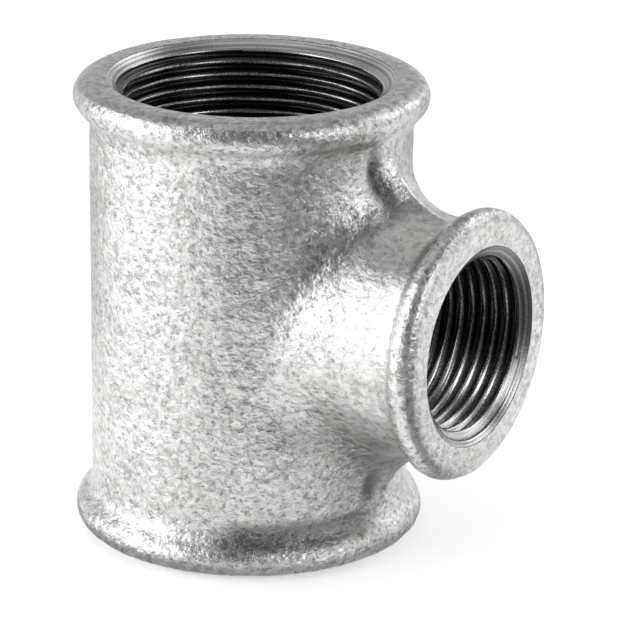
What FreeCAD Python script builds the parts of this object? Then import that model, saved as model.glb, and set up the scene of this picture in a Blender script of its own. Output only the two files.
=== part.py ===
"""A reducing tee, 1 1/2 inch by 1 inch, of malleable iron with beaded ends, cast as one piece.

The run stands upright on Z with its lower face on z = 0, and the branch leaves it along +X.
Units are millimetres. Every driving size is a cell of the sheet, and the features take theirs from it.
The pipe threads are cut as helical grooves, with flat crests and roots where real ones are rounded.
"""
import FreeCAD, Part
import Sketcher
import math
import os
from dataclasses import dataclass

from FreeCAD import Placement, Rotation, Vector

NODE = "tee_body"
SHEET = "Sizes"

# Each size can be changed by itself.
SIZES = {
    # the run: its two faces, its barrel, and how the beads at its ends stand out from that
    "run_height": 82.0,
    "barrel_radius": 28.3,
    "run_bead_rise": 2.9,
    "run_rim_round": 2.9,
    "run_bead_hollow": 3.6,
    # the branch: its axis above the lower face, its face from the run's axis, its boss and its bead
    "branch_height": 42.0,
    "branch_reach": 47.5,
    "neck_radius": 20.9,
    "boss_root_flare": 0.7,
    "branch_bead_rise": 2.9,
    "branch_rim_round": 2.5,
    "branch_bead_hollow": 1.4,
    # the round between barrel and boss, and the ridge that the mould's parting leaves over it
    "junction_round": 11.0,
    "ridge_lift": 5.5,
    "ridge_margin": 0.5,
    "ridge_sink": 0.3,
    "ridge_half_width": 6.5,
    "ridge_slope": 35.0,
    # the cored passages: the wall round them, and the round where they meet
    "run_wall": 3.9,
    "branch_wall": 3.9,
    "passage_round": 2.0,
    # the threads: how far their crests stand in from their own passage, how much plain passage is
    # left between them and the other one, and the shape of the groove
    "run_thread_step": 1.98,
    "run_thread_clear": 2.02,
    "branch_thread_step": 1.855,
    "branch_thread_clear": 2.945,
    "thread_pitch": 2.309,
    "thread_height": 1.479,
    "thread_land": 0.5,
    "thread_overlap": 0.3,
    # the countersinks at the mouths: how much wider than the crests, and how deep
    "run_mouth_step": 2.98,
    "run_mouth_depth": 2.2,
    "branch_mouth_step": 2.555,
    "branch_mouth_depth": 1.5,
}
FULL_TURN = 360.0
THREAD_FLANK = "27.5 deg"
GROOVE_OVERRUN = 0.6  # how far a groove runs past both ends of its bore, in pitches
ON_SURFACE = 1e-4


def cell(name):
    """The expression that reads one driving size."""
    return f"{SHEET}.{name}"


@dataclass(frozen=True)
class End:
    """One open end of the tee.

    A sketch of the end has x going into it from its face, and y out from its axis.
    """

    name: str
    turn: float  # degrees, in the section plane, from the plane's own x to the way into the end
    face_x: str  # where the middle of the end's face is in the section plane
    face_y: str
    family: str  # run or branch: the driving sizes that the end's shape is read from
    outside: str  # the radius behind the bead
    inner_end: str  # how far in from the face the end's passage goes
    side_opening: str  # how far in from the face the other passage cuts into it

    def size(self, name):
        """The expression of a driving size of the end's own family."""
        return cell(f"{self.family}_{name}")

    def passage(self):
        """The radius of the cored passage, a wall's thickness in from the outside."""
        return f"{self.outside} - {self.size('wall')}"

    def thread(self):
        """The radius of the thread's crests."""
        return f"{self.passage()} - {self.size('thread_step')}"

    def run_out(self):
        """How far in from the face the thread has run out and the plain passage starts."""
        return f"{self.side_opening} - {self.size('thread_clear')}"

    def mouth(self):
        """The radius of the countersink in the end's face."""
        return f"{self.thread()} + {self.size('mouth_step')}"


ABOVE_BRANCH = f"({cell('run_height')} - {cell('branch_height')})"
NEAREST_FACE = f"min({ABOVE_BRANCH}; {cell('branch_height')})"
BRANCH_PASSAGE = f"({cell('neck_radius')} - {cell('branch_wall')})"
RUN_PASSAGE = f"({cell('barrel_radius')} - {cell('run_wall')})"
LOWER = End(
    "lower", 90, "0", "0", "run", cell("barrel_radius"), cell("branch_height"),
    f"{NEAREST_FACE} - {BRANCH_PASSAGE}",
)
UPPER = End(
    "upper", -90, "0", cell("run_height"), "run", cell("barrel_radius"), ABOVE_BRANCH,
    f"{NEAREST_FACE} - {BRANCH_PASSAGE}",
)
BRANCH = End(
    "branch", 180, cell("branch_reach"), cell("branch_height"), "branch", cell("neck_radius"),
    cell("branch_reach"), f"{cell('branch_reach')} - {RUN_PASSAGE}",
)


def fill_sheet(doc):
    """Write each driving size into a cell and give the cell the size's name."""
    sheet = doc.addObject("Spreadsheet::Sheet", SHEET)
    for row, (name, value) in enumerate(SIZES.items(), start=1):
        sheet.set(f"A{row}", name)
        sheet.set(f"B{row}", str(value))
        sheet.setAlias(f"B{row}", name)
    doc.recompute()
    return sheet


def section_sketch(body, name, turn=0, face_x="0", face_y="0"):
    """A sketch in the plane of the run's and the branch's axes, moved and turned within it."""
    plane = next(f for f in body.Origin.OriginFeatures if f.Role == "XZ_Plane")
    sketch = body.newObject("Sketcher::SketchObject", name)
    sketch.AttachmentSupport = (plane, "")
    sketch.MapMode = "FlatFace"
    sketch.AttachmentOffset = Placement(Vector(0, 0, 0), Rotation(Vector(0, 0, 1), turn))
    for letter, place in (("x", face_x), ("y", face_y)):
        if place != "0":
            sketch.setExpression(f"AttachmentOffset.Base.{letter}", place)
    return sketch


def end_sketch(body, name, end):
    """A sketch set on one end, with x going into it."""
    return section_sketch(body, f"{end.name}_{name}", end.turn, end.face_x, end.face_y)


def bind(sketch, kind, name, expression, *where):
    """Add a constraint of the value that an expression gives, and keep it tied to the expression."""
    index = sketch.addConstraint(Sketcher.Constraint(kind, *where, sketch.evalExpression(expression)))
    sketch.renameConstraint(index, name)
    sketch.setExpression(f"Constraints.{name}", expression)


def hold_corner(sketch, line, name, x, y):
    """Hold the start of a line at a place. A coordinate of "0" puts it on the sketch's axis."""
    for letter, kind, place, axis in (("x", "DistanceX", x, -2), ("y", "DistanceY", y, -1)):
        if place == "0":
            sketch.addConstraint(Sketcher.Constraint("PointOnObject", line, 1, axis))
        else:
            bind(sketch, kind, f"{name}_{letter}", place, -1, 1, line, 1)


def draw_polygon(sketch, corners):
    """A closed outline of straight lines, with each corner named and held at its own place."""
    points = [Vector(sketch.evalExpression(x), sketch.evalExpression(y), 0) for _, x, y in corners]
    following = points[1:] + points[:1]
    for start, stop in zip(points, following):
        sketch.addGeometry(Part.LineSegment(start, stop), False)
    for line in range(len(points)):
        sketch.addConstraint(
            Sketcher.Constraint("Coincident", line, 2, (line + 1) % len(points), 1)
        )
    for line, (name, x, y) in enumerate(corners):
        hold_corner(sketch, line, name, x, y)


def draw_bead(sketch, end):
    """The outline of an end's bead, down to the end's axis.

    From the face it rounds over the rim, and a hollow takes it back to the wall behind.
    """
    rim = sketch.evalExpression(end.size("rim_round"))
    hollow = sketch.evalExpression(end.size("bead_hollow"))
    outside = sketch.evalExpression(end.outside)
    rim_height = f"{end.outside} + {end.size('bead_rise')} - {end.size('rim_round')}"
    face_height = sketch.evalExpression(rim_height)
    rise = outside + hollow - face_height
    length = rim + math.sqrt((rim + hollow) ** 2 - rise**2)
    rim_centre = Vector(rim, face_height, 0)
    hollow_centre = Vector(length, outside + hollow, 0)
    meet_angle = math.atan2(rise, length - rim)

    face = sketch.addGeometry(Part.LineSegment(Vector(0, 0, 0), Vector(0, face_height, 0)), False)
    rim_circle = Part.Circle(rim_centre, Vector(0, 0, 1), rim)
    rim_arc = sketch.addGeometry(Part.ArcOfCircle(rim_circle, meet_angle, math.pi), False)
    hollow_circle = Part.Circle(hollow_centre, Vector(0, 0, 1), hollow)
    hollow_arc = sketch.addGeometry(
        Part.ArcOfCircle(hollow_circle, math.pi + meet_angle, 1.5 * math.pi), False
    )
    back = sketch.addGeometry(
        Part.LineSegment(Vector(length, outside, 0), Vector(length, 0, 0)), False
    )
    axis = sketch.addGeometry(Part.LineSegment(Vector(length, 0, 0), Vector(0, 0, 0)), False)

    tie = Sketcher.Constraint
    sketch.addConstraint(
        [
            tie("Coincident", axis, 2, face, 1),
            tie("Coincident", face, 1, -1, 1),
            tie("Vertical", face),
            tie("Tangent", face, 2, rim_arc, 2),
            tie("Tangent", rim_arc, 1, hollow_arc, 1),
            tie("Perpendicular", hollow_arc, 2, back, 1),
            tie("Coincident", back, 2, axis, 1),
            tie("Vertical", back),
            tie("Horizontal", axis),
        ]
    )
    bind(sketch, "Radius", "rim_round", end.size("rim_round"), rim_arc)
    bind(sketch, "Radius", "hollow_round", end.size("bead_hollow"), hollow_arc)
    bind(sketch, "DistanceY", "rim_height", rim_height, -1, 1, rim_arc, 3)
    bind(sketch, "DistanceY", "outside_height", end.outside, -1, 1, hollow_arc, 2)


def draw_bore(sketch, end):
    """The outline of an end's bore: countersunk mouth, threaded length and the passage behind it."""
    thread = end.thread()
    passage = end.passage()
    run_out = end.run_out()
    draw_polygon(
        sketch,
        [
            ("face", "0", "0"),
            ("mouth", "0", end.mouth()),
            ("thread_start", end.size("mouth_depth"), thread),
            ("thread_stop", f"{run_out} - {end.size('thread_step')}", thread),
            ("passage_start", run_out, passage),
            ("passage_stop", end.inner_end, passage),
            ("inner_end", end.inner_end, "0"),
        ],
    )


def spin(body, kind, name, sketch):
    """Turn a sketch all the way round its own x axis, as a Revolution or a Groove."""
    feature = body.newObject(f"PartDesign::{kind}", name)
    feature.Profile = sketch
    feature.ReferenceAxis = (sketch, ["H_Axis"])
    feature.Angle = FULL_TURN
    body.Document.recompute()
    return feature


def winding_edges(shape, radius):
    """The names of the edges that the branch makes where it meets a cylinder about the run's axis."""
    names = []
    for number, edge in enumerate(shape.Edges, start=1):
        if isinstance(edge.Curve, (Part.Line, Part.Circle)):
            continue
        if all(abs(math.hypot(p.x, p.y) - radius) < ON_SURFACE for p in edge.discretize(9)):
            names.append(f"Edge{number}")
    return names


def round_edges(body, name, base, edges, radius):
    """Round some edges of a feature by a driving size."""
    feature = body.newObject("PartDesign::Fillet", name)
    feature.Base = (base, edges)
    feature.setExpression("Radius", radius)
    body.Document.recompute()
    return feature


def corner_round(size):
    """A round in the corner between barrel and boss.

    It is reduced where the end faces stand so near that the ridge would have no room.
    """
    faces = "; ".join(
        [
            f"{cell('run_height')} - {cell('branch_height')} - {cell('neck_radius')}",
            f"{cell('branch_height')} - {cell('neck_radius')}",
            f"{cell('branch_reach')} - {cell('barrel_radius')}",
        ]
    )
    ridge = f"({cell('junction_round')} + {cell('ridge_lift')})"
    return f"({size}) * min(1; (min({faces}) - {cell('ridge_margin')}) / {ridge})"


def draw_ridge(sketch):
    """The outline of the ridge above the boss, in the plane of the two axes, from the branch's axis.

    Its free edge is an arc that leaves the barrel under the bead and comes down on the neck, wider than
    the junction's round, so that the ridge stands out of that.
    The arc's ends are sunk a little into both, and the other edges lie inside, on the axes.
    """
    barrel_side = f"{cell('barrel_radius')} - {cell('ridge_sink')}"
    neck_side = f"{cell('neck_radius')} - {cell('ridge_sink')}"
    ridge_round = corner_round(f"{cell('junction_round')} + {cell('ridge_lift')}")
    arc_radius = sketch.evalExpression(ridge_round)
    barrel = sketch.evalExpression(barrel_side)
    neck = sketch.evalExpression(neck_side)
    centre = Vector(barrel + arc_radius, neck + arc_radius, 0)
    circle = Part.Circle(centre, Vector(0, 0, 1), arc_radius)
    arc = sketch.addGeometry(Part.ArcOfCircle(circle, math.pi, 1.5 * math.pi), False)
    corners = [
        Vector(centre.x, neck, 0),
        Vector(centre.x, 0, 0),
        Vector(0, 0, 0),
        Vector(0, centre.y, 0),
        Vector(barrel, centre.y, 0),
    ]
    outer, under, inner, over = (
        sketch.addGeometry(Part.LineSegment(start, stop), False)
        for start, stop in zip(corners, corners[1:])
    )
    tie = Sketcher.Constraint
    sketch.addConstraint(
        [
            tie("Perpendicular", arc, 2, outer, 1),
            tie("Coincident", outer, 2, under, 1),
            tie("Coincident", under, 2, inner, 1),
            tie("Coincident", inner, 1, -1, 1),
            tie("Coincident", inner, 2, over, 1),
            tie("Perpendicular", over, 2, arc, 1),
            tie("Vertical", outer),
            tie("Horizontal", under),
            tie("Vertical", inner),
            tie("Horizontal", over),
        ]
    )
    bind(sketch, "Radius", "ridge_round", ridge_round, arc)
    bind(sketch, "DistanceX", "barrel_side", barrel_side, -1, 1, arc, 1)
    bind(sketch, "DistanceY", "neck_side", neck_side, -1, 1, arc, 2)


def add_ridges(body):
    """A ridge above the boss and its image below, highest in the plane of the two axes."""
    sketch = section_sketch(body, "ridge_section", 0, "0", cell("branch_height"))
    draw_ridge(sketch)
    ridge = body.newObject("PartDesign::Pad", "upper_ridge")
    ridge.Profile = sketch
    ridge.SideType = "Two sides"
    ridge.Refine = False
    for name in ("Length", "Length2"):
        ridge.setExpression(name, cell("ridge_half_width"))
    for name in ("TaperAngle", "TaperAngle2"):
        ridge.setExpression(name, f"-{cell('ridge_slope')}")
    body.Document.recompute()
    image = body.newObject("PartDesign::Mirrored", "lower_ridge")
    image.Originals = [ridge]
    image.Refine = False
    image.MirrorPlane = (sketch, ["H_Axis"])
    body.Tip = image
    body.Document.recompute()


def make_outside(body):
    """The barrel and the branch's boss, run together in a large round, then the bead of each end."""
    barrel_section = section_sketch(body, "barrel_section", LOWER.turn)
    draw_polygon(
        barrel_section,
        [
            ("lower_middle", "0", "0"),
            ("lower_rim", "0", cell("barrel_radius")),
            ("upper_rim", cell("run_height"), cell("barrel_radius")),
            ("upper_middle", cell("run_height"), "0"),
        ],
    )
    spin(body, "Revolution", "barrel", barrel_section)

    boss_section = end_sketch(body, "boss_section", BRANCH)
    draw_polygon(
        boss_section,
        [
            ("face_middle", "0", "0"),
            ("face_rim", "0", cell("neck_radius")),
            ("root_rim", cell("branch_reach"), f"{cell('neck_radius')} + {cell('boss_root_flare')}"),
            ("root_middle", cell("branch_reach"), "0"),
        ],
    )
    boss = spin(body, "Revolution", "boss", boss_section)
    barrel_radius = body.evalExpression(cell("barrel_radius"))
    edges = winding_edges(boss.Shape, barrel_radius)
    round_edges(body, "junction", boss, edges, corner_round(cell("junction_round")))

    add_ridges(body)

    for end in (LOWER, UPPER, BRANCH):
        sketch = end_sketch(body, "bead_section", end)
        draw_bead(sketch, end)
        spin(body, "Revolution", f"{end.name}_bead", sketch)


def draw_groove(sketch, end):
    """The outline of a thread's groove, which starts clear of the end's face.

    It is as deep as the thread is high, leaves the crests' land, and overlaps the open bore a little.
    """
    middle = f"({GROOVE_OVERRUN} * {cell('thread_pitch')})"
    opening = f"({cell('thread_pitch')} - {cell('thread_land')}) / 2"
    slope = f"tan({THREAD_FLANK})"
    wide = f"({opening} + {cell('thread_overlap')} * {slope})"
    narrow = f"({opening} - {cell('thread_height')} * {slope})"
    low = f"{end.thread()} - {cell('thread_overlap')}"
    high = f"{end.thread()} + {cell('thread_height')}"
    draw_polygon(
        sketch,
        [
            ("outer_foot", f"-{middle} - {wide}", low),
            ("outer_root", f"-{middle} - {narrow}", high),
            ("inner_root", f"-{middle} + {narrow}", high),
            ("inner_foot", f"-{middle} + {wide}", low),
        ],
    )


def cut_thread(body, end):
    """The helical groove of an end's right-hand thread, from outside the face into the passage."""
    sketch = end_sketch(body, "groove_section", end)
    draw_groove(sketch, end)
    helix = body.newObject("PartDesign::SubtractiveHelix", f"{end.name}_thread")
    helix.Profile = sketch
    helix.ReferenceAxis = (sketch, ["H_Axis"])
    helix.Mode = "pitch-height-angle"
    helix.setExpression("Pitch", cell("thread_pitch"))
    helix.setExpression("Height", f"{end.run_out()} + 2 * {GROOVE_OVERRUN} * {cell('thread_pitch')}")
    helix.LeftHanded = False
    helix.Reversed = False
    body.Document.recompute()


def make_inside(body):
    """The bore of each end, the round where the passages meet, and the threads."""
    for end in (LOWER, UPPER, BRANCH):
        before = body.Shape.Volume
        sketch = end_sketch(body, "bore_section", end)
        draw_bore(sketch, end)
        spin(body, "Groove", f"{end.name}_bore", sketch)
        if body.Shape.Volume >= before:
            raise RuntimeError(f"the {end.name} bore cut nothing")
    passage_radius = body.evalExpression(UPPER.passage())
    edges = winding_edges(body.Tip.Shape, passage_radius)
    round_edges(body, "passage_edge", body.Tip, edges, cell("passage_round"))
    for end in (LOWER, UPPER, BRANCH):
        cut_thread(body, end)


def check(doc, body):
    """Stop with a plain message if a feature failed or the body isn't one sound solid."""
    for obj in doc.Objects:
        if {"Invalid", "Error"} & set(obj.State):
            raise RuntimeError(f"{obj.Name} is {obj.State}")
    shape = body.Shape
    if shape.isNull() or not shape.isValid() or len(shape.Solids) != 1:
        raise RuntimeError(f"{body.Label} isn't one valid solid")


def main():
    doc = FreeCAD.newDocument("reducing_tee")
    fill_sheet(doc)
    body = doc.addObject("PartDesign::Body", NODE)
    body.Label = NODE
    body.Placement = Placement(Vector(0, 0, 0), Rotation())
    make_outside(body)
    make_inside(body)
    doc.recompute()
    check(doc, body)
    os.makedirs("parts", exist_ok=True)
    body.Shape.exportStep(f"parts/{body.Label}.step")


main()
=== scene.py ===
"""Dresses the reducing tee: its cast skin, its cut pipe threads, its zinc coat, a studio and a camera.

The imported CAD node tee_body gives the form and the place of everything. One piece stands for it here: the
same casting with a cast surface, and with the crests and roots of its threads rounded.
Lengths are in metres, except in the materials, whose patterns are laid out in millimetres.
"""

import logging
import math
from collections.abc import Callable
from dataclasses import dataclass
from enum import Enum

import bmesh
import bpy
from mathutils import Matrix, Quaternion, Vector, noise

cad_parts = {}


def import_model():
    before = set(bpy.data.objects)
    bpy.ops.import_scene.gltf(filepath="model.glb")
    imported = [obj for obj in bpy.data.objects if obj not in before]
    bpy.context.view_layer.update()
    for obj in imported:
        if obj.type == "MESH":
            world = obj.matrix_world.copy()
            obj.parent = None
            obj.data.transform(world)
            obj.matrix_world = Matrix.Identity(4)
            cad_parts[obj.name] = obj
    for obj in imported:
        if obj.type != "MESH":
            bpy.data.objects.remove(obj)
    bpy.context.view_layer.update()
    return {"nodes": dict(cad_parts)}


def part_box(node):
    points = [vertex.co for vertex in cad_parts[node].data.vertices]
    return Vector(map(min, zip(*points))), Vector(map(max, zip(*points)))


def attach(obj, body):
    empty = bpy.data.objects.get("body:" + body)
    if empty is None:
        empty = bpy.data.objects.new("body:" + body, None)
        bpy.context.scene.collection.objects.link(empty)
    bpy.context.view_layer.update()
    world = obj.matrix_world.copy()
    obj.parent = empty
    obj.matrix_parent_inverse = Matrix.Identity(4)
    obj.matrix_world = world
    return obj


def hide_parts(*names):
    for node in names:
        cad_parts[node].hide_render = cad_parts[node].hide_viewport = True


Pair = tuple[float, float]
Triple = tuple[float, float, float]
Toward = Callable[[float, float, float], Vector]  # the place at an azimuth, an elevation and a distance

LOG = logging.getLogger("reducing_tee")
MM = 0.001
NODE = "tee_body"
ORIGIN: Triple = (0.0, 0.0, 0.0)
UP: Triple = (0.0, 0.0, 1.0)
DOWN: Triple = (0.0, 0.0, -1.0)
OUT: Triple = (1.0, 0.0, 0.0)  # along the branch
BACK: Triple = (-1.0, 0.0, 0.0)
WHITE = (1.0, 1.0, 1.0, 1.0)
CONE_LEVEL = -0.5  # value of the mesh attribute crest in a countersink


class Surface(Enum):
    """The kinds of surface on the tee, each with its own material slot on the piece."""

    SKIN = 0
    THREAD = 1
    PASSAGE = 2


class Value:
    """A socket of a material's nodes that Python's operators work on."""

    def __init__(self, sheet: "Sheet", socket: bpy.types.NodeSocket | None) -> None:
        """Keeps the sheet that new nodes go on and the socket that gives the value."""
        self.sheet = sheet
        self.socket = socket

    def _math(self, operation: str, first: "Value | float", second: "Value | float") -> "Value":
        """One Math node on two values."""
        return self.sheet.node("ShaderNodeMath", {"operation": operation}, {0: first, 1: second})

    def __add__(self, other: "Value | float") -> "Value":
        """self + other."""
        return self._math("ADD", self, other)

    def __sub__(self, other: "Value | float") -> "Value":
        """self - other."""
        return self._math("SUBTRACT", self, other)

    def __mul__(self, other: "Value | float") -> "Value":
        """self * other."""
        return self._math("MULTIPLY", self, other)

    def __radd__(self, other: float) -> "Value":
        """other + self."""
        return self._math("ADD", other, self)

    def __rsub__(self, other: float) -> "Value":
        """other - self."""
        return self._math("SUBTRACT", other, self)

    def __rmul__(self, other: float) -> "Value":
        """other * self."""
        return self._math("MULTIPLY", other, self)

    def step(self, low: float, high: float) -> "Value":
        """A smooth step of this value, which falls where high is below low.

        Args:
            low: Where it is 0.
            high: Where it is 1.

        Returns:
            A value from 0 to 1.
        """
        settings = {"interpolation_type": "SMOOTHSTEP"}
        sockets = {"Value": self, "From Min": low, "From Max": high}
        return self.sheet.node("ShaderNodeMapRange", settings, sockets)


class Sheet:
    """The node sheet of one material or of the world."""

    def __init__(self, owner: bpy.types.Material | bpy.types.World) -> None:
        """Clears the owner's nodes.

        Args:
            owner: The material or world whose nodes this sheet holds.
        """
        owner.use_nodes = True
        self.tree = owner.node_tree
        self.tree.nodes.clear()

    def node(
        self,
        kind: str,
        settings: dict[str, object] | None = None,
        sockets: dict[str | int, object] | None = None,
        output: str | int = 0,
    ) -> Value:
        """Adds a node.

        Args:
            kind: The node's type.
            settings: Its properties, set first.
            sockets: What goes into its sockets, by name or number: a Value, a number, a vector or a colour.
            output: The output that is wanted.

        Returns:
            That output as a Value, or a Value without a socket for a node that has no output.
        """
        node = self.tree.nodes.new(kind)
        for name, value in (settings or {}).items():
            setattr(node, name, value)
        for key, value in (sockets or {}).items():
            if isinstance(value, Value):
                self.tree.links.new(value.socket, node.inputs[key])
            else:
                node.inputs[key].default_value = value
        return Value(self, node.outputs[output] if len(node.outputs) else None)

    def place(self) -> Value:
        """The shaded point in the object's own frame, in millimetres.

        Returns:
            The point.
        """
        point = self.node("ShaderNodeTexCoord", output="Object")
        scale = {0: point, "Scale": 1 / MM}
        return self.node("ShaderNodeVectorMath", {"operation": "SCALE"}, scale)

    def parts(self, point: Value) -> tuple[Value, Value, Value]:
        """The x, y and z of a point."""
        split = self.node("ShaderNodeSeparateXYZ", None, {0: point})
        return tuple(Value(self, output) for output in split.socket.node.outputs)

    def attribute(self, name: str) -> Value:
        """A number that the mesh carries at its vertices."""
        return self.node("ShaderNodeAttribute", {"attribute_name": name}, None, "Fac")

    def stretched(self, point: Value, turn: Triple, scale: Triple) -> Value:
        """A point scaled and then turned, so that a pattern on it is shorter one way and has no grid.

        Args:
            point: The point.
            turn: Its turn about the axes, in degrees.
            scale: Its scale along the axes.

        Returns:
            The point to lay the pattern out on.
        """
        angles = tuple(math.radians(angle) for angle in turn)
        sockets = {"Vector": point, "Rotation": angles, "Scale": scale}
        return self.node("ShaderNodeMapping", {"vector_type": "POINT"}, sockets)

    def noise(
        self,
        point: Value,
        size: float,
        detail: float,
        roughness: float = 0.5,
        distortion: float = 0.0,
    ) -> Value:
        """Noise in space.

        Args:
            point: The point, in millimetres.
            size: Rough size of its lumps, in millimetres.
            detail: How many finer layers it has.
            roughness: How strong each finer layer is.
            distortion: How far its lumps are bent.

        Returns:
            A value from 0 to 1.
        """
        sockets = {
            "Vector": point,
            "Scale": 1 / size,
            "Detail": detail,
            "Roughness": roughness,
            "Distortion": distortion,
        }
        return self.node("ShaderNodeTexNoise", {"noise_dimensions": "3D"}, sockets, "Fac")

    def blend(self, factor: Value, first: Triple, second: Triple | Value) -> Value:
        """A colour between two others.

        Args:
            factor: 0 for the first colour, 1 for the second.
            first: The first colour.
            second: The second colour.

        Returns:
            The colour between them.
        """
        if not isinstance(second, Value):
            second = (*second, 1.0)
        mix_factor, mix_first, mix_second, mixed_colour = 0, 6, 7, 2  # the Mix node's sockets for colours
        sockets = {mix_factor: factor, mix_first: (*first, 1.0), mix_second: second}
        return self.node("ShaderNodeMix", {"data_type": "RGBA"}, sockets, mixed_colour)

    def bump(self, height: Value, depth: float, base: Value | None = None) -> Value:
        """A normal from a height.

        Args:
            height: The height, from 0 to 1.
            depth: How many millimetres the height of 1 stands for.
            base: The normal that it is laid over, if any.

        Returns:
            The normal.
        """
        sockets = {"Height": height, "Distance": depth * MM, "Strength": 1.0}
        if base is not None:
            sockets["Normal"] = base
        return self.node("ShaderNodeBump", None, sockets, "Normal")

    def metal(self, colour: Value, roughness: Value, normal: Value, metallic: float = 1.0) -> None:
        """Ends the sheet in a metal's surface.

        Args:
            colour: Its colour.
            roughness: Its roughness.
            normal: Its normal.
            metallic: How far it is a metal.
        """
        sockets = {"Base Color": colour, "Metallic": metallic, "Roughness": roughness, "Normal": normal}
        surface = self.node("ShaderNodeBsdfPrincipled", None, sockets)
        self.node("ShaderNodeOutputMaterial", None, {"Surface": surface})


@dataclass(frozen=True)
class ZincSkin:
    """Hot-dip zinc over a sand-cast skin: bright metal, mottled and hammered, with small dark flecks.

    Sizes and depths of its patterns are in millimetres.
    """

    name: str = "zinc_skin"
    dark: Triple = (0.34, 0.34, 0.335)
    light: Triple = (0.80, 0.80, 0.79)
    # painted shade: the dark colour in the creases, the corner under the boss and the hollow over the lower
    # bead
    painted_shade: Triple = (0.075, 0.075, 0.072)
    roughness: float = 0.33
    streak_turn: Triple = (0.0, 35.0, 0.0)
    streak_scale: Triple = (1.0, 1.0, 1.25)
    cloud_size: float = 7.0
    leather_size: float = 2.2
    leather_depth: float = 0.26
    mottle_size: float = 1.35
    mottle_depth: float = 0.17
    hammer_size: float = 0.75
    hammer_depth: float = 0.10
    fleck_size: float = 0.9
    fleck_depth: float = 0.03
    grain_size: float = 0.27
    grain_depth: float = 0.036
    tone_range: Pair = (1.09, 2.04)  # sum of the patterns where the zinc is dark, and where it is light

    def make(self) -> bpy.types.Material:
        """The material.

        Returns:
            A new material of this finish, which reads the mesh attribute that holds the painted shade.
        """
        material = bpy.data.materials.new(self.name)
        sheet = Sheet(material)
        point = sheet.place()
        x, _, z = sheet.parts(point)
        # Where the skin differs, from 0 to 1; the limits are millimetres along the tee's axes.
        boss = x.step(26.0, 36.0) * x.step(43.0, 40.5)
        end_faces = x.step(46.6, 47.2) + z.step(81.1, 81.7) + z.step(0.9, 0.3)
        under_boss = x.step(12.0, 24.0) * z.step(32.0, 20.0)
        coarse = 1.0 + under_boss * 0.6 - boss * 0.45 - end_faces * 0.3
        streaks = sheet.stretched(point, self.streak_turn, self.streak_scale)
        clouds = sheet.noise(point, self.cloud_size, 3.0)
        leather = sheet.noise(streaks, self.leather_size, 2.0, 0.5, 0.3)
        mottle = sheet.noise(streaks, self.mottle_size, 5.0, 0.6, 0.5)
        hammer = sheet.noise(streaks, self.hammer_size, 2.0, 0.5, 0.3)
        grain = sheet.noise(point, self.grain_size, 3.0, 0.65)
        specks = sheet.noise(streaks, self.fleck_size, 3.0, 0.6, 0.6).step(0.44, 0.33)
        flecks = specks * (1.0 - boss * 0.6 - end_faces * 0.5)
        patterns = mottle * 2.0 + clouds * 0.5 + grain * 0.9 + boss * 0.05 - flecks * 0.58
        zinc = sheet.blend(patterns.step(*self.tone_range), self.dark, self.light)
        # painted shade: the zinc turns towards the dark colour where the mesh carries painted shade
        unshaded = 1.0 - sheet.attribute("painted_shade") * (mottle + 0.5)
        rough = self.roughness + (grain - 0.5) * 0.16 + (mottle - 0.5) * 0.14
        relief = sheet.bump(leather * coarse, self.leather_depth)
        relief = sheet.bump(mottle * coarse, self.mottle_depth, relief)
        relief = sheet.bump(hammer * coarse, self.hammer_depth, relief)
        relief = sheet.bump(flecks * -1.0, self.fleck_depth, relief)
        relief = sheet.bump(grain, self.grain_depth, relief)
        sheet.metal(sheet.blend(unshaded, self.painted_shade, zinc), rough, relief)
        return material


@dataclass(frozen=True)
class CutThread:
    """The thread's turned metal: black, from oil and from painted shade for the dark bore it reflects, and
    bright on the crests, from rubbing and from painted highlight.

    In the lower half of the branch's bore light is painted down into the groove, shade is painted into the
    upper half of its countersink, and the countersinks have turned rings. Sizes and depths are in
    millimetres.
    """

    name: str = "cut_thread"
    # darker than the bare metal: oil, and painted shade for the dark bore that the thread reflects
    metal: Triple = (0.085, 0.085, 0.083)
    bright: Triple = (0.66, 0.66, 0.65)
    roughness: float = 0.27
    grain_size: float = 0.5
    grain_depth: float = 0.02
    lines_per_mm: float = 2.6
    line_depth: float = 0.14

    def make(self) -> bpy.types.Material:
        """The material.

        Returns:
            A new material of this finish, which reads the mesh attributes crest and depth.
        """
        material = bpy.data.materials.new(self.name)
        sheet = Sheet(material)
        point = sheet.place()
        crest = sheet.attribute("crest")
        depth = sheet.attribute("depth")
        grain = sheet.noise(point, self.grain_size, 4.0, 0.6)
        turned = {"W": depth, "Scale": self.lines_per_mm, "Detail": 2.0, "Roughness": 0.7}
        lines = sheet.node("ShaderNodeTexNoise", {"noise_dimensions": "1D"}, turned, "Fac")
        x, _, z = sheet.parts(point)
        # Light is painted into the lower half of the branch's bore, and shade into the upper half of its
        # countersink.
        painted_light_zone = x.step(27.0, 33.0) * z.step(39.0, 29.0)
        # painted shade: the countersink's brightness, cut down in the branch's upper half
        clear = 0.9 - x.step(36.0, 42.0) * z.step(25.0, 38.0) * 0.7
        rubbed = crest + (grain - 0.5) * 0.3
        # rubbed metal and painted highlight: the crests are bright
        crest_wear_and_highlight = rubbed.step(0.86, 1.04) * (1.0 - painted_light_zone * 0.5)
        # painted light: bright turned metal in the grooves of the branch's lower half
        in_painted_light_zone = rubbed.step(-0.10, 0.45) * painted_light_zone * (lines * 1.2 + 0.4)
        inner_ring = depth.step(1.05, 1.25) * depth.step(1.50, 1.35)
        outer_ring = depth.step(0.50, 0.62) * depth.step(0.80, 0.70) * 0.5
        cone = (lines.step(0.38, 0.62) * 1.1 + 0.12) * clear + (inner_ring + outer_ring) * 0.4
        # what is bright: the crests, the painted light in the branch's bore and the countersinks
        wear_and_painted_light = crest_wear_and_highlight + in_painted_light_zone + crest.step(-0.10, -0.40) * cone
        relief = sheet.bump(lines, self.line_depth, sheet.bump(grain, self.grain_depth))
        rough = self.roughness + (grain - 0.5) * 0.2
        sheet.metal(sheet.blend(wear_and_painted_light, self.metal, self.bright), rough, relief)
        return material


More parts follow.
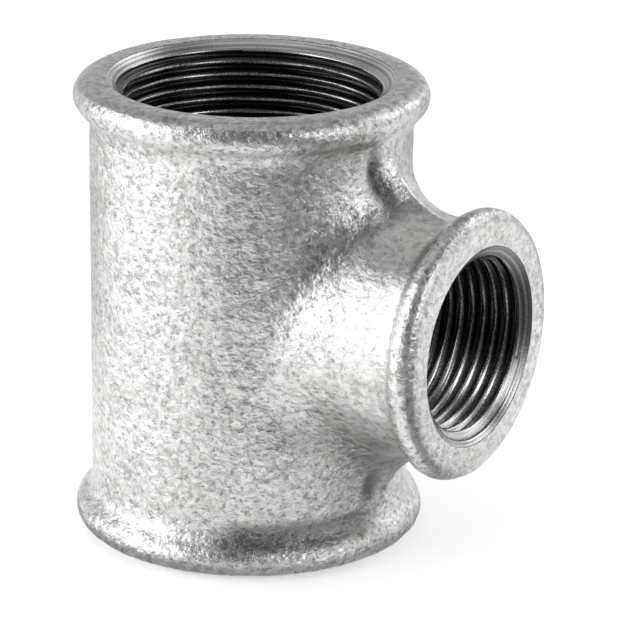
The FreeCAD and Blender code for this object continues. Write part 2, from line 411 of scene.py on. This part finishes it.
@dataclass(frozen=True)
class CoredPassage:
    """The cored passage behind the threads: rough, dull and dark. Its lumps are given in millimetres."""

    name: str = "cored_passage"
    dark: Triple = (0.12, 0.12, 0.118)
    light: Triple = (0.30, 0.30, 0.295)
    roughness: float = 0.55
    metallic: float = 0.9
    lump_size: float = 1.8
    lump_depth: float = 0.25

    def make(self) -> bpy.types.Material:
        """The material.

        Returns:
            A new material of this finish.
        """
        material = bpy.data.materials.new(self.name)
        sheet = Sheet(material)
        lumps = sheet.noise(sheet.place(), self.lump_size, 4.0, 0.6)
        colour = sheet.blend(lumps.step(0.3, 0.75), self.dark, self.light)
        rough = self.roughness + (lumps - 0.5) * 0.2
        sheet.metal(colour, rough, sheet.bump(lumps, self.lump_depth), self.metallic)
        return material


def clamp(number: float) -> float:
    """A number kept between 0 and 1."""
    return min(1.0, max(0.0, number))


def new_object(name: str, shape: bmesh.types.BMesh) -> bpy.types.Object:
    """Makes an object of a bmesh and frees it.

    Args:
        name: The object's name.
        shape: The bmesh.

    Returns:
        The new object, linked to the scene.
    """
    mesh = bpy.data.meshes.new(name)
    shape.to_mesh(mesh)
    shape.free()
    thing = bpy.data.objects.new(name, mesh)
    bpy.context.scene.collection.objects.link(thing)
    return thing


def settle(thing: bpy.types.Object) -> None:
    """Applies an object's modifiers to its mesh.

    Args:
        thing: The object.
    """
    graph = bpy.context.evaluated_depsgraph_get()
    mesh = bpy.data.meshes.new_from_object(thing.evaluated_get(graph))
    thing.modifiers.clear()
    thing.data = mesh


def dress(shape: bmesh.types.BMesh, surface: Surface) -> None:
    """Makes every face of a shape smooth and gives it one surface.

    Args:
        shape: The bmesh.
        surface: The kind of surface.
    """
    for face in shape.faces:
        face.material_index = surface.value
        face.smooth = True


@dataclass(frozen=True)
class Bore:
    """One threaded bore: a right-hand pipe thread from a countersunk mouth to the cored passage.

    The cutter is turned about Z with its face at z = 0 and the bore going down, and then set in place, with
    its X on the side where the groove starts outside the face.
    """

    name: str
    crest: float  # radius at the crests, as in the CAD's bore
    root: float  # radius at the roots
    mouth: float  # radius of the countersink in the face
    mouth_depth: float  # depth at which the countersink meets the crests' radius
    depth: float  # length of the thread from the face
    passage: float  # radius of the passage behind the thread
    face: Triple  # middle of the face
    outward: Triple  # direction out of the mouth
    start: Triple  # direction of the side where the groove starts
    lead: float = 0.6  # how far outside the face it starts, in pitches
    pitch: float = 2.309 * MM
    steepness: float = 1.30  # of the flanks
    rounding: float = 0.35  # share of a smooth wave in the profile
    steps: int = 96  # round the bore
    rows: int = 10  # to a pitch
    over: float = 1.0 * MM  # how far the cutter runs past both ends
    ledge: float = 0.03 * MM  # by which the run-out stays inside the passage
    weld: float = 0.0001 * MM  # points nearer than this are merged

    @property
    def run_out(self) -> float:
        """The depth at which the thread has run out and the plain passage starts."""
        return self.depth + self.passage - self.crest

    def is_past(self, place: Vector) -> bool:
        """Whether a point lies deeper than the end of the run-out."""
        return (Vector(self.face) - place).dot(Vector(self.outward)) > self.run_out

    def _radius(self, height: float, phase: float) -> Pair:
        """The thread's radius at a height, with rounded crests and roots between straight flanks.

        Args:
            height: Height in the cutter, 0 at the face and falling into the bore.
            phase: Turn about the axis, from 0 to 1.

        Returns:
            The bore's radius there, countersink and run-out included, and the height on the thread: 1 on a
            crest, 0 in a root, CONE_LEVEL in the countersink.
        """
        turn = (height / self.pitch - phase + 0.5 - self.lead) % 1.0
        flank = 1.0 - abs(2.0 * turn - 1.0)
        ramp = clamp((flank - 0.5) * self.steepness + 0.5)
        wave = ramp * ramp * (3.0 - 2.0 * ramp)
        shaped = wave * self.rounding + ramp * (1.0 - self.rounding)
        thread = self.crest + (self.root - self.crest) * shaped
        depth = -height
        cone = self.mouth - (self.mouth - self.crest) * depth / self.mouth_depth
        runout = self.crest + (depth - self.depth)
        radius = min(max(thread, cone, runout), max(self.passage - self.ledge, cone))
        level = CONE_LEVEL if cone > thread else 1.0 - (radius - self.crest) / (self.root - self.crest)
        return radius, level

    def cutter(self) -> bpy.types.Object:
        """A closed solid of the metal that the tap and the countersink take away.

        Returns:
            A new object, set in the bore's place, with the mesh attributes crest and depth.
        """
        bottom = -(self.run_out + self.over)
        count = round((self.over - bottom) / self.pitch * self.rows)
        shape = bmesh.new()
        crest = shape.verts.layers.float.new("crest")
        depth = shape.verts.layers.float.new("depth")
        heights = [self.over + (bottom - self.over) * row / count for row in range(count + 1)]
        line = [shape.verts.new((self.crest, 0.0, height)) for height in heights]
        edges = [shape.edges.new(pair) for pair in zip(line, line[1:])]
        bmesh.ops.spin(
            shape,
            geom=line + edges,
            axis=UP,
            cent=ORIGIN,
            angle=math.tau,
            steps=self.steps,
            use_merge=True,
        )
        bmesh.ops.remove_doubles(shape, verts=shape.verts, dist=self.weld)
        for vert in shape.verts:
            phase = math.atan2(vert.co.y, vert.co.x) / math.tau
            height = vert.co.z
            radius, vert[crest] = self._radius(min(height, 0.0), phase)
            vert[depth] = -height / MM
            scale = radius / math.hypot(vert.co.x, vert.co.y)
            vert.co = (vert.co.x * scale, vert.co.y * scale, height)
        bmesh.ops.holes_fill(shape, edges=[edge for edge in shape.edges if edge.is_boundary])
        bmesh.ops.recalc_face_normals(shape, faces=shape.faces)
        dress(shape, Surface.THREAD)
        outward, start = Vector(self.outward), Vector(self.start)
        turn = Matrix((start, outward.cross(start), outward)).transposed().to_4x4()
        shape.transform(Matrix.Translation(self.face) @ turn)
        return new_object(self.name, shape)


def run_bore(name: str, face: Triple, outward: Triple, start: Triple) -> Bore:
    """A bore of the run, with the larger thread."""
    sizes = (22.42 * MM, 23.90 * MM, 25.4 * MM, 2.2 * MM, 19.0 * MM, 24.4 * MM)
    return Bore(name, *sizes, face, outward, start)


def branch_bore(name: str, face: Triple, outward: Triple, start: Triple) -> Bore:
    """A bore of the branch, with the smaller thread."""
    sizes = (15.145 * MM, 16.62 * MM, 17.7 * MM, 1.5 * MM, 18.3 * MM, 17.0 * MM)
    return Bore(name, *sizes, face, outward, start)


@dataclass
class TeeCasting:
    """The casting: barrel, branch boss and beads with a cast surface, cored and threaded."""

    node: bpy.types.Object
    voxel: float = 0.64 * MM
    smoothings: int = 4
    weld: float = 0.001 * MM  # points nearer than this are merged
    lump: float = 0.085 * MM
    lump_size: float = 4.2 * MM
    lump_layers: tuple[float, float, int] = (0.9, 2.0, 2)  # how finer layers fade, their scale, how many
    dimple: float = 0.035 * MM
    dimple_size: float = 1.9 * MM
    face_margin: float = 0.7 * MM  # the lumps fade towards the end faces over this width
    face_share: float = 0.15  # of the lumps that is left on them
    barrel: float = 28.3 * MM
    boss: float = 20.9 * MM
    crease: float = 0.7 * MM  # depth of the crease at one foot of each ridge
    crease_side: float = 4.3 * MM  # how far from the ridge's middle it runs
    crease_half: float = 2.4 * MM
    crease_fade: float = 5.0 * MM
    crease_start: float = 20.0 * MM  # from the run's axis
    crease_ends: Pair = (34.5 * MM, 31.5 * MM)  # from the run's axis: upper ridge, lower ridge
    crease_reach: Pair = (19.5 * MM, 34.0 * MM)  # height above or under the branch's axis
    corner_width: float = 3.3 * MM  # of the corner between barrel and boss, where shade is painted
    corner_drop: Pair = (9.8 * MM, 16.8 * MM)  # under the branch's axis: where its painted shade starts and is full
    corner_painted_shade: float = 0.38
    hollow_height: Pair = (4.4 * MM, 10.2 * MM)  # of the hollow over the lower bead, where shade is painted
    hollow_edge: float = 1.3 * MM
    hollow_turn: Pair = (-71.0, -1.0)  # degrees about the run's axis
    hollow_fade: float = 12.0  # degrees
    hollow_painted_shade: float = 0.66
    upper: Bore = run_bore("upper_thread", (0.0, 0.0, 82.0 * MM), UP, OUT)
    lower: Bore = run_bore("lower_thread", ORIGIN, DOWN, BACK)
    branch: Bore = branch_bore("branch_thread", (47.5 * MM, 0.0, 42.0 * MM), OUT, DOWN)

    @property
    def bores(self) -> tuple[Bore, Bore, Bore]:
        """The three bores."""
        return self.upper, self.lower, self.branch

    @property
    def axis_height(self) -> float:
        """Height of the branch's axis."""
        return self.branch.face[2]

    def _is_inside(self, middle: Vector) -> bool:
        """Whether a point of the CAD's surface is on the wall of a bore or passage.

        Args:
            middle: The point.

        Returns:
            True inside.
        """
        play = 0.01 * MM
        in_run = math.hypot(middle.x, middle.y) < self.upper.mouth + play
        in_branch = math.hypot(middle.y, middle.z - self.axis_height) < self.branch.mouth + play
        return in_run or (middle.x > 0 and in_branch)

    def _is_passage(self, middle: Vector) -> bool:
        """Whether a point on the inside is past the end of every thread."""
        return self._is_inside(middle) and all(bore.is_past(middle) for bore in self.bores)

    def _half(self, inside: bool) -> bpy.types.Object:
        """The outer form or the passages' core, as a closed solid, from a merged copy of the CAD's mesh.

        Args:
            inside: True for the core that the plain passages leave, False for the outer form.

        Returns:
            A new object with one closed mesh.
        """
        shape = bmesh.new()
        shape.from_mesh(self.node.data)
        bmesh.ops.remove_doubles(shape, verts=shape.verts, dist=self.weld)
        middles = ((face, face.calc_center_median()) for face in shape.faces)
        if inside:
            unwanted = [face for face, middle in middles if not self._is_passage(middle)]
        else:
            unwanted = [face for face, middle in middles if self._is_inside(middle)]
        bmesh.ops.delete(shape, geom=unwanted, context="FACES")
        rims = [edge for edge in shape.edges if edge.is_boundary]
        bmesh.ops.holes_fill(shape, edges=rims)
        bmesh.ops.recalc_face_normals(shape, faces=shape.faces)
        dress(shape, Surface.PASSAGE if inside else Surface.SKIN)
        return new_object("core" if inside else "tee_casting", shape)

    def _cast(self, thing: bpy.types.Object) -> None:
        """Gives the outer form an even mesh, the lumps and dimples of a cast surface, and its painted shade.

        Args:
            thing: The outer form.
        """
        remesh = thing.modifiers.new("even", "REMESH")
        remesh.mode = "VOXEL"
        remesh.voxel_size = self.voxel
        remesh.use_smooth_shade = True
        settle(thing)
        shape = bmesh.new()
        shape.from_mesh(thing.data)
        low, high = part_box(NODE)
        for _ in range(self.smoothings):
            bmesh.ops.smooth_vert(
                shape, verts=shape.verts, factor=0.5, use_axis_x=True, use_axis_y=True, use_axis_z=True
            )
        shape.normal_update()
        # painted shade at the vertices: in the creases, the corner under the boss and the hollow over the
        # lower bead
        painted_shade = shape.verts.layers.float.new("painted_shade")
        for vert in shape.verts:
            vert[painted_shade] = self._painted_shade(vert.co)
            vert.co += vert.normal * self._lift(vert.co)
            vert.co.z = min(max(vert.co.z, low[2]), high[2])
            vert.co.x = min(vert.co.x, high[0])
        dress(shape, Surface.SKIN)
        shape.to_mesh(thing.data)
        shape.free()

    def _lift(self, place: Vector) -> float:
        """How far the cast surface stands out at a point.

        Args:
            place: The point.

        Returns:
            Metres, less on the end faces and negative in a crease.
        """
        broad = noise.fractal(place / self.lump_size, *self.lump_layers)
        small = noise.noise(place / self.dimple_size)
        to_face = min(self.upper.face[2] - place.z, place.z, self.branch.face[0] - place.x)
        fade = clamp(to_face / self.face_margin) * (1.0 - self.face_share) + self.face_share
        return (broad * self.lump + small * self.dimple) * fade - self._crease(place) * self.crease

    def _crease(self, place: Vector) -> float:
        """How deep a point is in the crease beside a ridge.

        Args:
            place: The point.

        Returns:
            From 0 outside the crease to 1 in its middle.
        """
        low, high = self.crease_reach
        across = (-place.y - self.crease_side) / self.crease_half
        rise = place.z - self.axis_height
        end = self.crease_ends[0] if rise > 0.0 else self.crease_ends[1]
        ends = min(abs(rise) - low, high - abs(rise), end - place.x) / self.crease_fade
        if place.x < self.crease_start or abs(across) > 1.0 or ends <= 0.0:
            return 0.0
        return (1.0 - across * across) ** 2 * min(1.0, ends) ** 1.5

    def _corner(self, place: Vector) -> float:
        """How far a point is into the corner under the boss.

        Args:
            place: The point.

        Returns:
            From 0 outside the corner to 1 in its middle.
        """
        first, full = self.corner_drop
        to_barrel = abs(math.hypot(place.x, place.y) - self.barrel)
        to_boss = abs(math.hypot(place.y, place.z - self.axis_height) - self.boss)
        near = clamp(2.0 - max(to_barrel, to_boss) / self.corner_width)
        under = clamp((self.axis_height - place.z - first) / (full - first))
        return near * under if place.x > 0.0 else 0.0

    def _hollow(self, place: Vector) -> float:
        """How far a point is into the hollow over the lower bead, where shade is painted.

        Args:
            place: The point.

        Returns:
            From 0 outside the hollow to 1 in its middle.
        """
        low, high = self.hollow_height
        first, last = self.hollow_turn
        turn = math.degrees(math.atan2(place.y, place.x))
        level = min(place.z - low, high - place.z) / self.hollow_edge
        along = min(turn - first, last - turn) / self.hollow_fade
        return clamp(level) * clamp(along)

    def _painted_shade(self, place: Vector) -> float:
        """How much shade is painted at a point, from 0 to 1."""
        corner, hollow = self._corner(place) * self.corner_painted_shade, self._hollow(place) * self.hollow_painted_shade
        return max(self._crease(place) ** 0.5, corner, hollow)

    def make(self, finishes: list[bpy.types.Material]) -> bpy.types.Object:
        """Builds the piece and dresses it.

        Args:
            finishes: The materials, in the order of Surface.

        Returns:
            The finished piece.
        """
        piece = self._half(inside=False)
        self._cast(piece)
        tools = [self._half(inside=True)] + [bore.cutter() for bore in self.bores]
        for thing in [piece, *tools]:
            for finish in finishes:
                thing.data.materials.append(finish)
        for tool in tools:
            cut = piece.modifiers.new("cut", "BOOLEAN")
            cut.operation = "DIFFERENCE"
            cut.solver = "MANIFOLD"
            cut.object = tool
            settle(piece)
        for tool in tools:
            bpy.data.objects.remove(tool)
        return piece


@dataclass(frozen=True)
class Card:
    """A grey card beside the tee that only its metal sees, swept about Z from a line of places.

    Angles are in degrees. Azimuths count from the camera's side, to the right of it.
    """

    name: str
    azimuths: Pair
    grey: float

    def line(self, toward: Toward) -> list[Vector]:
        """The line of places that the card is swept from."""
        raise NotImplementedError

    def make(self, toward: Toward) -> bpy.types.Object:
        """Builds the card.

        Args:
            toward: Gives the place at an azimuth, an elevation and a distance.

        Returns:
            The card, which the camera doesn't see and which casts no shadow.
        """
        step_turn, fewest_steps = 6.0, 4
        turn = self.azimuths[1] - self.azimuths[0]
        shape = bmesh.new()
        line = [shape.verts.new(place) for place in self.line(toward)]
        edges = [shape.edges.new(pair) for pair in zip(line, line[1:])]
        bmesh.ops.spin(
            shape,
            geom=line + edges,
            axis=UP,
            cent=ORIGIN,
            angle=math.radians(turn),
            steps=max(fewest_steps, round(turn / step_turn)),
        )
        card = new_object(self.name, shape)
        material = bpy.data.materials.new(self.name)
        sheet = Sheet(material)
        grey = (self.grey, self.grey, self.grey, 1.0)
        cloth = sheet.node("ShaderNodeEmission", None, {"Color": grey, "Strength": 1.0})
        sheet.node("ShaderNodeOutputMaterial", None, {"Surface": cloth})
        card.data.materials.append(material)
        card.visible_camera = False
        card.visible_diffuse = False
        card.visible_shadow = False
        return card


@dataclass(frozen=True)
class Screen(Card):
    """A card that stands round the tee, a patch of a sphere."""

    elevations: Pair
    radius: float = 1.8

    def line(self, toward: Toward) -> list[Vector]:
        """The upright line of places that the screen is swept from.

        Args:
            toward: Gives the place at an azimuth, an elevation and a distance.

        Returns:
            The places, from the lowest to the highest.
        """
        row_turn, fewest_rows = 8.0, 2
        low, high = self.elevations
        rows = max(fewest_rows, round((high - low) / row_turn))
        levels = (low + (high - low) * row / rows for row in range(rows + 1))
        return [toward(self.azimuths[0], level, self.radius) for level in levels]


@dataclass(frozen=True)
class Apron(Card):
    """A card that lies on the floor, from one distance to another: painted shade, a darker floor that only
    the metal sees.
    """

    distances: Pair
    lift: float = 0.5 * MM

    def line(self, toward: Toward) -> list[Vector]:
        """The line of places, just above the floor, that the apron is swept from."""
        lift = Vector(UP) * self.lift
        return [toward(self.azimuths[0], 0.0, distance) + lift for distance in self.distances]


@dataclass(frozen=True)
class Lamp:
    """A soft box: an area lamp that faces the middle of the tee."""

    name: str
    azimuth: float
    elevation: float
    size: Pair
    watts: float
    distance: float = 0.9
    middle: Triple = (0.0, 0.0, 0.04)

    def make(self, toward: Toward) -> None:
        """Adds the lamp.

        Args:
            toward: Gives the place at an azimuth, an elevation and a distance.
        """
        data = bpy.data.lights.new(self.name, "AREA")
        data.shape = "RECTANGLE"
        data.size, data.size_y = self.size
        data.energy = self.watts
        lamp = bpy.data.objects.new(self.name, data)
        lamp.location = toward(self.azimuth, self.elevation, self.distance)
        lamp.rotation_mode = "QUATERNION"
        lamp.rotation_quaternion = (lamp.location - Vector(self.middle)).to_track_quat("Z", "Y")
        bpy.context.scene.collection.objects.link(lamp)


@dataclass(frozen=True)
class Studio:
    """A white sweep in a dark room, with large soft boxes of low brightness."""

    facing: float = 34.12  # the camera's side, in degrees from -Y towards +X
    ambient: float = 0.66  # strength of the world as light
    tent: float = 1.0  # strength of the world where it is seen
    glow: float = 0.34  # what a floor that is seen adds to its grey
    paper: float = 0.86  # grey of the floor
    floor_size: float = 6.0
    floor_drop: float = 0.05 * MM
    cards: tuple[Card, ...] = (
        Screen("front_dark", (-40.0, 60.0), 0.12, (-1.0, 75.0)),
        Screen("left_grey", (-140.0, -40.0), 0.50, (6.0, 75.0)),
        Screen("back_low", (-220.0, -140.0), 0.60, (6.0, 34.0)),
        Screen("back_high", (-220.0, -140.0), 0.22, (34.0, 75.0)),
        Screen("right_grey", (60.0, 140.0), 0.22, (9.0, 75.0)),
        Screen("ceiling", (0.0, 360.0), 0.17, (75.0, 90.0)),
        Screen("flank_card", (44.0, 64.0), 2.5, (0.0, 42.0), radius=1.6),
        # painted shade on the floor, which only the metal sees
        Apron("front_apron", (-30.0, 20.0), 0.32, (0.15, 1.8)),
        # painted shade: the floor on the branch's side, darker as if shadowed by it
        Apron("painted_shade_side", (20.0, 77.0), 0.21, (0.075, 1.8)),
        Apron("left_apron", (-168.0, -120.0), 0.72, (0.1, 1.8)),
        Apron("right_apron", (120.0, 165.0), 0.62, (0.12, 1.8)),
        # painted shadows: under the branch, and round the foot of the tee
        Apron("painted_branch_shadow", (42.0, 72.0), 0.34, (0.037, 0.075)),
        Apron("painted_contact_shadow", (-70.0, 290.0), 0.42, (0.03, 0.037)),
    )
    lamps: tuple[Lamp, ...] = (
        Lamp("left_box", -79.0, 23.0, (0.95, 0.8), 5.1),
        Lamp("right_box", 120.0, 33.0, (0.75, 0.5), 2.0),
        Lamp("rim_box", 50.0, 34.0, (0.3, 0.3), 0.5),
        Lamp("top_box", 180.0, 84.0, (0.5, 0.5), 0.4),
    )

    def _toward(self, azimuth: float, elevation: float, distance: float) -> Vector:
        """A place round the tee.

        Args:
            azimuth: Degrees from the camera's side, to the right of it.
            elevation: Degrees above the floor.
            distance: Distance from the foot of the run's axis.

        Returns:
            The place.
        """
        turn = math.radians(self.facing + azimuth)
        rise = math.radians(elevation)
        flat = math.cos(rise)
        return Vector((math.sin(turn) * flat, -math.cos(turn) * flat, math.sin(rise))) * distance

    def _world(self) -> None:
        """White where the camera or the metal looks at it, and a little less as light."""
        world = bpy.data.worlds.new("tent")
        bpy.context.scene.world = world
        sheet = Sheet(world)
        strength = self._seen(sheet) * (self.tent - self.ambient) + self.ambient
        light = sheet.node("ShaderNodeBackground", None, {"Color": WHITE, "Strength": strength})
        sheet.node("ShaderNodeOutputWorld", None, {"Surface": light})

    @staticmethod
    def _seen(sheet: Sheet) -> Value:
        """Tells the rays that show a thing from those that light it.

        Args:
            sheet: The sheet that the nodes go on.

        Returns:
            1 for rays from the camera and for those that the metal or a glass sends on, otherwise 0.
        """
        names = ("Is Camera Ray", "Is Glossy Ray", "Is Transmission Ray")
        camera, glossy, through = (sheet.node("ShaderNodeLightPath", output=name) for name in names)
        return (camera + glossy + through).step(0.0, 0.5)

    def _floor(self) -> bpy.types.Object:
        """Builds the floor, a little under the tee's lower face.

        Returns:
            The floor.
        """
        shape = bmesh.new()
        bmesh.ops.create_grid(shape, x_segments=1, y_segments=1, size=self.floor_size)
        bmesh.ops.translate(shape, verts=shape.verts, vec=Vector(DOWN) * self.floor_drop)
        floor = new_object("floor", shape)
        material = bpy.data.materials.new("pale_floor")
        sheet = Sheet(material)
        grey = (self.paper, self.paper, self.paper, 1.0)
        paper = sheet.node("ShaderNodeBsdfDiffuse", None, {"Color": grey})
        strength = self._seen(sheet) * self.glow
        glow = sheet.node("ShaderNodeEmission", None, {"Color": WHITE, "Strength": strength})
        both = sheet.node("ShaderNodeAddShader", None, {0: paper, 1: glow})
        sheet.node("ShaderNodeOutputMaterial", None, {"Surface": both})
        floor.data.materials.append(material)
        return floor

    def make(self) -> None:
        """Builds the studio: its world, floor, cards and lamps."""
        self._world()
        self._floor()
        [card.make(self._toward) for card in self.cards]
        for lamp in self.lamps:
            lamp.make(self._toward)


@dataclass(frozen=True)
class Camera:
    """The camera, fitted to the photograph's ellipses and edges. The image is 618 by 619."""

    place: Triple = (0.32437, -0.47873, 0.24405)
    forward: Triple = (-0.51455, 0.78974, -0.33398)
    roll: float = 0.7515  # degrees
    focal_pixels: float = 3450.14
    image_height: int = 619  # the longer side, which the sensor's width is fitted to
    sensor: float = 36.0  # millimetres
    clip: Pair = (0.01, 20.0)

    def make(self) -> bpy.types.Object:
        """Adds the camera and makes it the scene's.

        Returns:
            The camera.
        """
        data = bpy.data.cameras.new("camera")
        data.sensor_fit = "AUTO"
        data.sensor_width = self.sensor
        data.lens = self.sensor * self.focal_pixels / self.image_height
        data.clip_start, data.clip_end = self.clip
        camera = bpy.data.objects.new("camera", data)
        camera.location = self.place
        camera.rotation_mode = "QUATERNION"
        level = Vector(self.forward).to_track_quat("-Z", "Y")
        camera.rotation_quaternion = level @ Quaternion(UP, math.radians(self.roll))
        bpy.context.scene.collection.objects.link(camera)
        bpy.context.scene.camera = camera
        return camera


def main() -> None:
    """Builds the tee's piece, the studio and the camera."""
    logging.basicConfig(level=logging.INFO, format="%(name)s: %(message)s")
    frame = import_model()
    finishes = [ZincSkin().make(), CutThread().make(), CoredPassage().make()]
    piece = TeeCasting(frame["nodes"][NODE]).make(finishes)
    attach(piece, "root")
    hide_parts(NODE)
    triangles = sum(len(polygon.vertices) - 2 for polygon in piece.data.polygons)
    LOG.info("%s: %d triangles", piece.name, triangles)
    Studio().make()
    Camera().make()
    bpy.context.scene.view_settings.view_transform = "Standard"


if __name__ == "__main__":
    main()
